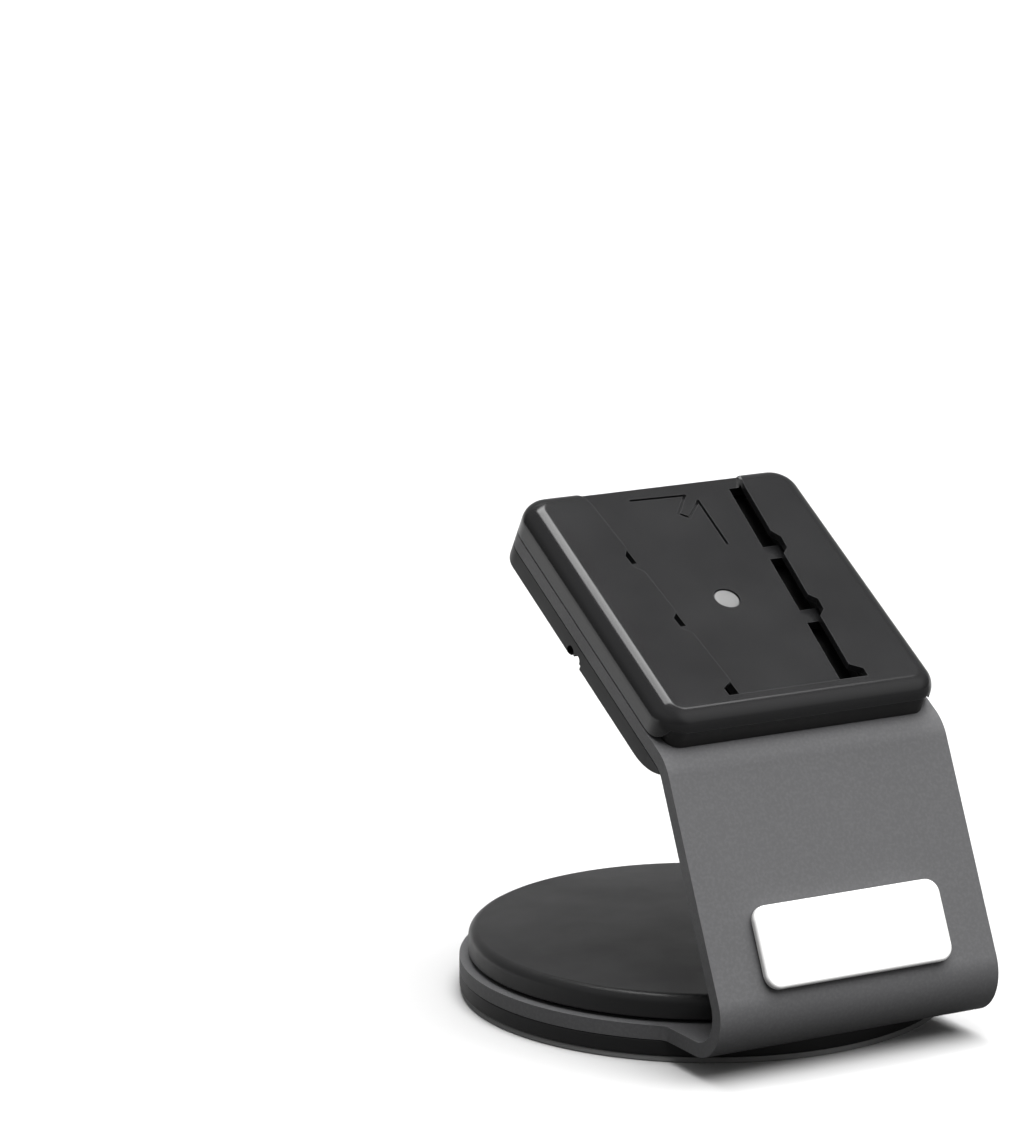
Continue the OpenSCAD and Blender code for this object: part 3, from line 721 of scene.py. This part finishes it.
def base_cap():
    z0, z1 = span("base_cap", 2)
    radius, edge, dome, wall, hollow = 47.8, 2.0, 0.9, 2, 3.5
    dome_foot, dome_radius = z1 - dome, radius - edge
    inside = radius - wall
    profile = [(0, z0 + hollow), (inside, z0 + hollow),
               (inside, z0 + 0.15), (inside + 0.15, z0),
               (radius - 0.3, z0), (radius - 0.09, z0 + 0.09), (radius, z0 + 0.3)]
    profile += arc(dome_radius, dome_foot - edge, edge, 0, 88, 12)
    profile += [(dome_radius * i / 16.0, dome_foot + dome * (1 - (i / 16.0) ** 2))
                for i in range(15, -1, -1)]
    ob = lathe("Base_Cap", profile, 192)
    smooth(ob)
    place(ob, WORLD, "stand", "cap_black", "base_cap")


# ---------------------------------------------------------------- badge and pin
def badge():
    """Blank plate on the front of the upright leg."""
    width, height, thickness = 42.6, 16.4, 1.5
    middle, back = -38.6, 0.44  # along the leg from the fold line, off its face
    ob = rounded_plate("Badge_Plate", width / 2, middle - height / 2, middle + height / 2, 3.0,
                       z0=back, z1=back + thickness, lower=0.15, upper=0.6, steps=7)
    smooth(ob)
    place(ob, FACE, "stand", "badge_white", "badge_plate")


def lock_pin():
    radius, bottom, top = 2.7, 0.05, CHANNEL_FLOOR - 0.25
    lower, upper = 0.2, 0.4  # edge radii
    ob = lathe("Lock_Pin", [(0, bottom), *arc(radius - lower, bottom + lower, lower, -90, 0, 3),
                            *arc(radius - upper, top - upper, upper, 0, 80, 6),
                            (1.2, top - 0.02), (0, top)], 64)
    ob.data.transform(Matrix.Translation((0, PIN_V, 0)))
    smooth(ob)
    place(ob, DOCK, "locking_pin", "pin_metal", "lock_pin")


# ---------------------------------------------------------------- remaining CAD nodes
def dress_cad_nodes():
    """Nodes that keep their own solids get a material and softened edges."""
    slots = {part["node"]: part["material_slot"] for part in frame["record"]["subparts"]}
    for name, ob in frame["nodes"].items():
        if ob.hide_render:
            continue
        ob.data.materials.clear()
        ob.data.materials.append(MATERIALS[slots[name]])
        weld = ob.modifiers.new("weld", "WELD")
        weld.merge_threshold = 2e-6
        bevel = ob.modifiers.new("edge", "BEVEL")
        bevel.width = 0.00012
        bevel.segments = 2
        bevel.limit_method = "ANGLE"
        bevel.angle_limit = math.radians(45)
        normals = ob.modifiers.new("normals", "WEIGHTED_NORMAL")
        normals.keep_sharp = False


# ---------------------------------------------------------------- floor, metres
# tone seen by the camera, in reflections behind the stand, and by all other rays
FLOOR_TONE, FLOOR_GLOSS, FLOOR_BOUNCE = 0.61, 0.42, 0.09
GLOSS_FADE = (-0.05, 0.12)  # y over which the reflected tone comes in


def floor_material():
    made = bpy.data.materials.new("floor")
    made.use_nodes = True
    tree = made.node_tree
    surface = tree.nodes["Principled BSDF"]
    surface.inputs["Roughness"].default_value = 0.9
    surface.inputs["Specular IOR Level"].default_value = 0.1
    rays = add_node(tree, "ShaderNodeLightPath").outputs
    seen = mix_colour(tree, rays["Is Camera Ray"], grey(FLOOR_BOUNCE), grey(FLOOR_TONE))
    unseen = add_node(tree, "ShaderNodeMix", {
        "A": grey(FLOOR_BOUNCE), "B": grey(FLOOR_GLOSS)}, data_type="RGBA")
    geometry = add_node(tree, "ShaderNodeNewGeometry")
    position = add_node(tree, "ShaderNodeSeparateXYZ", {0: geometry.outputs["Position"]})
    behind = map_range(tree, position.outputs["Y"], GLOSS_FADE)
    glossy = math_node(tree, "MULTIPLY", behind, rays["Is Glossy Ray"])
    tree.links.new(glossy, unseen.inputs["Factor"])
    tree.links.new(unseen.outputs["Result"], seen.inputs["A"])
    tree.links.new(seen.outputs["Result"], surface.inputs["Base Color"])
    return made


def floor_sweep():
    """Floor that curves up into a back wall, turned to face the camera."""
    front, flat_end, curve, wall_top, half_width = -3.0, 3.2, 1.2, 5.0, 5.0
    turn = math.radians(-29.5)
    c, s = math.cos(turn), math.sin(turn)
    profile = [(front, 0.0), *arc(flat_end, curve, curve, -90, 0, 16),
               (flat_end + curve, wall_top)]
    verts = [(x * c - y * s, x * s + y * c, z)
             for y, z in profile for x in (-half_width, half_width)]
    faces = [(i, i + 1, i + 3, i + 2) for i in range(0, 2 * len(profile) - 2, 2)]
    ob = add_mesh("Floor", verts, faces)
    for face in ob.data.polygons:
        face.use_smooth = True
    ob.data.materials.append(floor_material())


# ---------------------------------------------------------------- studio surround
# position from straight down (0) to straight up (1), strength
SKY_TONES = [(0.0, 0.05), (0.5, 0.06), (0.6, 0.12), (0.8, 0.25), (1.0, 0.25)]
# round soft boxes: direction, radius deg, softness deg, strength
SOFT_BOXES = [
    ((-0.95, -0.05, 0.15), 40, 25, 0.10),
    ((0.36, 0.88, 0.30), 26, 14, 2.1),
    ((0.48, -0.66, 0.56), 26, 16, 0.42),
]
# panels on a ceiling one unit up: x from, x to, y from, y to, softness, strength
PANELS = [
    (-0.18, 0.455, 0.10, 0.42, 0.05, 6.5),
    (0.49, 0.60, -0.03, 0.14, 0.04, 5.0),
]


def sky_base(tree, height):
    ramp = add_node(tree, "ShaderNodeValToRGB", {"Fac": map_range(tree, height, (-1, 1))})
    ramp.color_ramp.interpolation = "EASE"
    stops = ramp.color_ramp.elements
    stops.remove(stops[-1])
    stops[0].position = SKY_TONES[0][0]
    stops[0].color = grey(SKY_TONES[0][1])
    for position, tone in SKY_TONES[1:]:
        stops.new(position).color = grey(tone)
    return ramp.outputs["Color"]


def soft_box(tree, view, direction, radius, softness, strength):
    facing = add_node(tree, "ShaderNodeVectorMath", {
        0: view, 1: tuple(Vector(direction).normalized())}, operation="DOT_PRODUCT")
    rim = math.cos(math.radians(radius + softness))
    core = math.cos(math.radians(max(0.0, radius - softness)))
    return map_range(tree, facing.outputs["Value"], (rim, core), (0.0, strength),
                     interpolation_type="SMOOTHSTEP")


def panel(tree, view_axes, x0, x1, y0, y1, softness, strength):
    rise = math_node(tree, "MAXIMUM", view_axes["Z"], 0.02)
    ceiling_x = math_node(tree, "DIVIDE", view_axes["X"], rise)
    ceiling_y = math_node(tree, "DIVIDE", view_axes["Y"], rise)
    light = strength
    for place_on, low, high in ((ceiling_x, x0, x1), (ceiling_y, y0, y1)):
        offset = math_node(tree, "SUBTRACT", place_on, (low + high) / 2)
        distance = math_node(tree, "ABSOLUTE", offset, 0)
        inside = math_node(tree, "SUBTRACT", (high - low) / 2, distance)
        padded = math_node(tree, "ADD", inside, softness / 2)
        cover = math_node(tree, "DIVIDE", padded, softness, clamp=True)
        light = math_node(tree, "MULTIPLY", cover, light)
    return light


def sky():
    """Light as a function of direction; the camera itself sees plain white."""
    world = bpy.data.worlds.new("World")
    scene.world = world
    world.use_nodes = True
    tree = world.node_tree
    tree.nodes.clear()
    coords = add_node(tree, "ShaderNodeTexCoord")
    view = add_node(tree, "ShaderNodeVectorMath", {0: coords.outputs["Generated"]},
                    operation="NORMALIZE").outputs[0]
    view_axes = add_node(tree, "ShaderNodeSeparateXYZ", {0: view}).outputs
    total = sky_base(tree, view_axes["Z"])
    for box in SOFT_BOXES:
        total = math_node(tree, "ADD", total, soft_box(tree, view, *box))
    for extent in PANELS:
        total = math_node(tree, "ADD", total, panel(tree, view_axes, *extent))
    rays = add_node(tree, "ShaderNodeLightPath").outputs
    strength = add_node(tree, "ShaderNodeMix", {
        "Factor": rays["Is Camera Ray"], "A": total, "B": 1.0}, data_type="FLOAT")
    background = add_node(tree, "ShaderNodeBackground", {
        "Color": (1, 1, 1, 1), "Strength": strength.outputs["Result"]})
    add_node(tree, "ShaderNodeOutputWorld", {0: background.outputs[0]})
    world.cycles.sampling_method = "MANUAL"
    world.cycles.sample_map_resolution = 512


# ---------------------------------------------------------------- light and camera
def aim(ob, direction):
    ob.rotation_mode = "QUATERNION"
    ob.rotation_quaternion = Vector(direction).to_track_quat("-Z", "Y")


def key_light():
    """Broad sun from above, kept out of reflections."""
    sun = bpy.data.lights.new("Key", "SUN")
    sun.energy = 5.15
    sun.angle = math.radians(66)
    ob = bpy.data.objects.new("Key", sun)
    scene.collection.objects.link(ob)
    aim(ob, (-0.16, 0.27, -0.949))
    ob.visible_glossy = False


def camera():
    lens = bpy.data.cameras.new("Camera")
    ob = bpy.data.objects.new("Camera", lens)
    scene.collection.objects.link(ob)
    lens.lens = 175.56
    lens.sensor_width = 36.0
    lens.clip_start = 0.01
    lens.clip_end = 50
    ob.location = (-0.561043, -0.913957, 0.334182)
    aim(ob, (0.48032872, 0.84798139, -0.22408009))
    scene.camera = ob


# ---------------------------------------------------------------- build
dock_shell()
bracket()
belly_cover()
anti_slip_pad()
base_disc()
base_cap()
badge()
lock_pin()
dress_cad_nodes()
floor_sweep()
sky()
key_light()
camera()
scene.view_settings.view_transform = "Standard"
scene.view_settings.look = "None"
